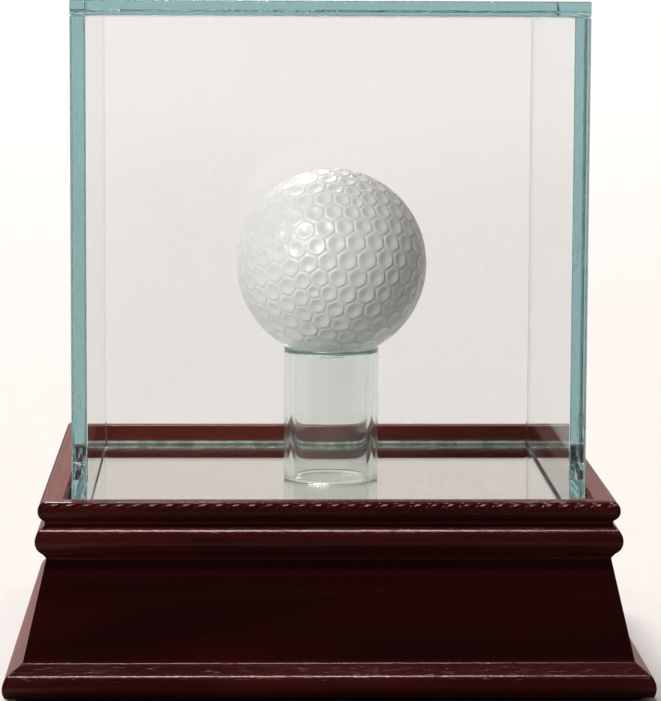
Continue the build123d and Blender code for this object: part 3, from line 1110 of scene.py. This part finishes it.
def dimple_shape(tree, given, here):
    """Where each point of the fine net goes: on a circle round its cell's centre, and sunk."""
    centre = vector_calc(tree, "NORMALIZE", recall(tree, "cell_centre", "FLOAT_VECTOR"))
    ring = recall(tree, "ring")
    rim = calc(tree, "MULTIPLY", recall(tree, "cell_size"), given["Dimple Share"])
    ray = vector_calc(tree, "NORMALIZE", here)
    level = vector_calc(tree, "DOT_PRODUCT", ray, centre)
    aside = vector_calc(tree, "SUBTRACT", ray, vector_calc(tree, "SCALE", centre, level))
    reach = vector_calc(tree, "LENGTH", aside)
    inner = calc(tree, "MULTIPLY", rim, calc(tree, "DIVIDE", ring, RIM_RING))
    past_rim = calc(tree, "DIVIDE", calc(tree, "SUBTRACT", ring, RIM_RING), 1 - RIM_RING)
    border = calc(tree, "DIVIDE", reach, calc(tree, "MAXIMUM", ring, 0.01))
    outer = calc(tree, "ADD", rim, calc(tree, "MULTIPLY", past_rim, calc(tree, "SUBTRACT", border, rim)))
    is_outer = calc(tree, "GREATER_THAN", ring, RIM_RING)
    gap = calc(tree, "SUBTRACT", outer, inner)
    radius = calc(tree, "ADD", inner, calc(tree, "MULTIPLY", is_outer, gap))
    share = calc(tree, "MINIMUM", calc(tree, "DIVIDE", radius, rim), 1)
    bowl = calc(tree, "SUBTRACT", 1, calc(tree, "MULTIPLY", share, share))
    bowl = calc(tree, "POWER", bowl, BOWL_POWER)
    out = calc(tree, "SUBTRACT", given["Ball Radius"], calc(tree, "MULTIPLY", bowl, given["Dimple Depth"]))
    along = calc(tree, "SQRT", calc(tree, "SUBTRACT", 1, calc(tree, "MULTIPLY", radius, radius)))
    side = vector_calc(tree, "SCALE", vector_calc(tree, "NORMALIZE", aside), radius)
    direction = vector_calc(tree, "ADD", vector_calc(tree, "SCALE", centre, along), side)
    return vector_calc(tree, "SCALE", direction, out)


# %% Grow the ball
net = geodesic(6)
print("dimples:", len(net.verts))
net_mesh = bpy.data.meshes.new("geodesic_net")
net.to_mesh(net_mesh)
net.free()
ball = grow("dimpled_ball", build_ball_tree(), {
    "Ball Radius": ball_radius, "Dimple Share": 0.75, "Dimple Depth": 0.29 * MM,
    "Centre": ball_centre, "Tilt": Vector((radians(14), 0, radians(20))), "Cover": BALL_COVER}, net_mesh)
settle(ball, "ball", "ball_cover", "ball_shell")

# %% [markdown]
# ## Panes
#
# Each pane is cut from the same float glass. Its two large faces are fire-polished, its cut
# edges are ground flat and polished, and every corner has a small rough arris, wider at the
# foot. So one pane has several finishes, chosen by the way each face looks.

# %% Cut the panes
ARRIS, FOOT_ARRIS = 0.25 * MM, 0.8 * MM
cover_low, cover_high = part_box("glass_left")
WALL_END = cover_high.y
WALL_TOP = cover_high.z


def block(low, high):
    """A box between two corners."""
    shape = bmesh.new()
    bmesh.ops.create_cube(shape, size=1.0)
    placing = Matrix.Translation((low + high) / 2) @ Matrix.Diagonal(high - low).to_4x4()
    bmesh.ops.transform(shape, verts=shape.verts, matrix=placing)
    return shape


def is_bonded(node, face):
    """True if this face of a pane is held by adhesive to another pane."""
    middle, facing = face.calc_center_median(), face.normal
    if node in ("glass_left", "glass_right"):
        return abs(facing.y) > 0.99 or facing.z > 0.99
    if node == "glass_top":
        return facing.z < -0.99 and max(abs(middle.x), abs(middle.y)) > WALL_END
    if node == "mirror_plate":
        return False
    inward = facing.y * middle.y < 0 and abs(facing.y) > 0.99
    return facing.z > 0.99 or (inward and abs(middle.x) > WALL_END)


def build_pane(node):
    """A pane with its corners ground, and on each face how it is finished."""
    low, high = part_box(node)
    size = high - low
    thin = min(range(3), key=lambda axis: size[axis])
    shape = block(low, high)
    rest = [edge for edge in shape.edges if any(vert.co.z > low.z + 1e-6 for vert in edge.verts)]
    if thin == 2:
        bmesh.ops.bevel(shape, geom=shape.edges, offset=ARRIS, segments=1, affect="EDGES")
    else:
        bmesh.ops.bevel(shape, geom=rest, offset=ARRIS, segments=1, affect="EDGES")
        lowest = [edge for edge in shape.edges if all(vert.co.z < low.z + 1e-6 for vert in edge.verts)]
        bmesh.ops.bevel(shape, geom=lowest, offset=FOOT_ARRIS, segments=1, affect="EDGES")
    for axis in range(2):
        for side in (-WALL_END, WALL_END):
            normal = Vector((axis == 0, axis == 1, 0))
            bmesh.ops.bisect_plane(shape, geom=[*shape.verts, *shape.edges, *shape.faces],
                                   plane_co=normal * side, plane_no=normal)
    shape.normal_update()
    layers = {kind: shape.faces.layers.float.new(kind) for kind in ("cut", "ground", "bonded")}
    for face in shape.faces:
        straight = [abs(n) > 0.99 for n in face.normal]
        if is_bonded(node, face):
            face[layers["bonded"]] = 1.0
        elif not any(straight):
            face[layers["ground"]] = 1.0
        elif not straight[thin]:
            face[layers["cut"]] = 1.0
    return mesh_piece(node.replace("glass", "pane"), shape, PANE_GLASS, radians(20))


for node in ("glass_front", "glass_back", "glass_left", "glass_right", "glass_top"):
    settle(build_pane(node), "cover", "cover_glass", node)
print("panes up to", round((WALL_TOP - cover_low.z) / MM, 1), "mm tall")

# %% [markdown]
# The adhesive is in the joints as thin films: four upright ones at the corners, a frame of four
# under the top pane, and the line rubbed along the back pane's foot. Each is a little thinner
# than its joint, because two faces in one place would flicker.

# %% Adhesive films
FILM = 0.02 * MM


def foot_line(films):
    """Adhesive drawn along the ground corner at the back pane's foot, as a thin long prism."""
    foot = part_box("glass_back")[0]
    off = Vector((0, -1, -1)).normalized()
    ends = []
    for x in (cover_high.x + ARRIS, -cover_high.x - ARRIS):
        end = []
        for share, lift in ((0.03, FILM), (0.93, FILM), (0.93, 3 * FILM), (0.03, 3 * FILM)):
            point = Vector((x, foot.y + FOOT_ARRIS * share, foot.z + FOOT_ARRIS * (1 - share)))
            end.append(films.verts.new(point + off * lift))
        ends.append(end)
    for i in range(4):
        films.faces.new((ends[0][i], ends[0][i - 1], ends[1][i - 1], ends[1][i]))
    for end in ends:
        films.faces.new(end)


def thin_films(name, boxes, body, node, more=None):
    """The adhesive in a joint, a little thinner than the joint so that it touches no glass."""
    films = bmesh.new()
    if more:
        more(films)
    for low, high in boxes:
        size = high - low
        thin = min(range(3), key=lambda axis: size[axis])
        low[thin] += FILM
        high[thin] -= FILM
        part = block(low, high)
        mesh = bpy.data.meshes.new("film")
        part.to_mesh(mesh)
        part.free()
        films.from_mesh(mesh)
        bpy.data.meshes.remove(mesh)
    settle(mesh_piece(name, films, CURED_FILM), body, "clear_adhesive", node)


pane_thickness = cover_high.x - cover_low.x
front_low, front_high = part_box("glass_front")
joints = []
for x in (cover_low.x, -cover_high.x):
    for y in (front_high.y, WALL_END):
        joints.append((Vector((x, y, cover_low.z + FOOT_ARRIS)),
                       Vector((x + pane_thickness, y + abs(front_high.y) - WALL_END, WALL_TOP - ARRIS))))
thin_films("corner_films", joints, "cover", "corner_bonds", foot_line)

roof_low, roof_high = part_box("glass_top")
ring, inner = roof_high.x - ARRIS, -front_high.y
strips = []
for x0, x1, y0, y1 in ((-ring, ring, -ring, -inner), (-ring, ring, inner, ring),
                       (-ring, -inner, -inner, inner), (inner, ring, -inner, inner)):
    strips.append((Vector((x0, y0, WALL_TOP)), Vector((x1, y1, roof_low.z))))
thin_films("roof_film", strips, "cover", "top_bond")
print("films:", len(joints), "upright,", len(strips), "under the top")

# %% [markdown]
# The mirror's plate is ground like a pane. Its silver lies against the glass with no gap, so
# the block of silver reaches a hair's breadth into the plate.

# %% Mirror
SILVER_BOND = 0.02 * MM


def build_mirror():
    """The mirror's plate, and the silvering that is bonded to its back."""
    plate = build_pane("mirror_plate")
    plate.name = "mirror_glass"
    settle(plate, "base", "mirror_glass", "mirror_plate")
    low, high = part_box("mirror_silvering")
    high.z += SILVER_BOND
    silver = mesh_piece("silver_coat", block(low, high), SILVERING)
    settle(silver, "base", "silvering", "mirror_silvering")


build_mirror()
print("mirror pieces:", ["mirror_glass", "silver_coat"])

# %% [markdown]
# ## Finishing the pieces that CAD made
#
# Boards, blocks, screws, pins, nails and tape keep their CAD shape and only get a finish.

# %% Finishes for CAD pieces


def refinish(name, material):
    """Gives a CAD node a new material in every slot."""
    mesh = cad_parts[name].data
    mesh.materials.clear()
    mesh.materials.append(material)


for name in ("floor_board", "bottom_panel"):
    refinish(name, PRESSED_BOARD)
for name in ("corner_v_nails", "floor_pins", "bottom_screws"):
    refinish(name, ZINC)
for corner in ("front_left", "front_right", "back_left", "back_right"):
    refinish(f"corner_block_{corner}", SAWN_PINE)
refinish("mirror_tapes", TAPE)
refinish("ball_core", BALL_RUBBER)
shown = [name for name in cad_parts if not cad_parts[name].hide_render]
print(len(shown), "CAD pieces still show, the felt pad among them until its sheet is made")

# %% [markdown]
# ## The felt
#
# A square of thin felt is glued over the bottom so that the case does not scratch a shelf. It
# is cut with shears, so its edge wanders a little, and its fibres make it uneven.

# %% Felt
FELT_CELLS = 72
EDGE_WANDER = 0.25 * MM


def build_felt():
    """Both faces of the felt as grids of points: the mesh, its points and how they are counted."""
    low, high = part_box("felt_pad")
    size = high.x - low.x
    shape = bmesh.new()
    columns = []
    for top in (False, True):
        for i in range(FELT_CELLS + 1):
            for j in range(FELT_CELLS + 1):
                x, y = low.x + size * i / FELT_CELLS, low.y + size * j / FELT_CELLS
                pull = noise.noise(Vector((x * 90, y * 90, 0))) * 0.5 + 0.5
                on_edge = i in (0, FELT_CELLS) or j in (0, FELT_CELLS)
                inset = 1 - EDGE_WANDER * pull / (size / 2) * on_edge
                fuzz = (noise.noise(Vector((x * 400, y * 400, 5))) * 0.5 + 0.5) * 0.1 * MM
                z = high.z if top else low.z + fuzz
                columns.append(shape.verts.new((x * inset, y * inset, z)))
    row = FELT_CELLS + 1
    sheet = row * row
    for i in range(FELT_CELLS):
        for j in range(FELT_CELLS):
            a, b = i * row + j, (i + 1) * row + j
            shape.faces.new([columns[k] for k in (a, b, b + 1, a + 1)])
            shape.faces.new([columns[k + sheet] for k in (a, a + 1, b + 1, b)])
    return shape, columns, row, sheet


def close_felt(shape, columns, row, sheet):
    """Joins the top and the underside round the cut edge."""
    last = row - 1
    path = [i * row for i in range(row)] + [last * row + j for j in range(1, row)]
    path += [i * row + last for i in range(last - 1, -1, -1)] + list(range(last - 1, 0, -1))
    for here, following in zip(path, path[1:] + path[:1]):
        shape.faces.new([columns[k] for k in (here, here + sheet, following + sheet, following)])


felt_shape, felt_points, felt_row, felt_half = build_felt()
close_felt(felt_shape, felt_points, felt_row, felt_half)
felt = mesh_piece("felt_sheet", felt_shape, FELT)
settle(felt, "base", "felt", "felt_pad")
print("felt:", len(felt.data.polygons), "faces")

# %% [markdown]
# ## What each lamp lights
#
# In a studio, cards and flags would keep each lamp off what it should not light. Light linking
# does the same here: the key models the ball, the riser and the back rail and stays off the
# dark front, the strip and the kicker light the mouldings, and the light from behind stays off
# the ball, whose back the rear pane mirrors.

# %% Light linking
mouldings = [f"carved_moulding_{side}" for side in ("front", "right", "back", "left")]


def linked(lamp, names, state="INCLUDE"):
    """Makes a lamp light only these objects, or all but these."""
    group = bpy.data.collections.new(f"{lamp.name}_{state.lower()}")
    for name in names:
        group.objects.link(bpy.data.objects[name])
    lamp.light_linking.receiver_collection = group
    for item in group.collection_objects:
        item.light_linking.link_state = state


linked(key, ["dimpled_ball", "glass_ring", "carved_moulding_back", "corner_films"])
linked(kicker, mouldings)
linked(strip, mouldings)
linked(skylight, ["dimpled_ball"], "EXCLUDE")
print("linked lamps:", [lamp.name for lamp in (key, kicker, strip, skylight)])

# %% [markdown]
# ## Colours and path lengths
#
# Colours are shown as they are lit, with no film look. Paths are long, because light crosses many
# faces of glass here and is mirrored besides.

# %% Colours and path lengths
bpy.context.scene.view_settings.view_transform = "Standard"
bpy.context.scene.cycles.max_bounces = 32
bpy.context.scene.cycles.transmission_bounces = 28
bpy.context.scene.cycles.glossy_bounces = 16
bpy.context.scene.cycles.transparent_max_bounces = 24
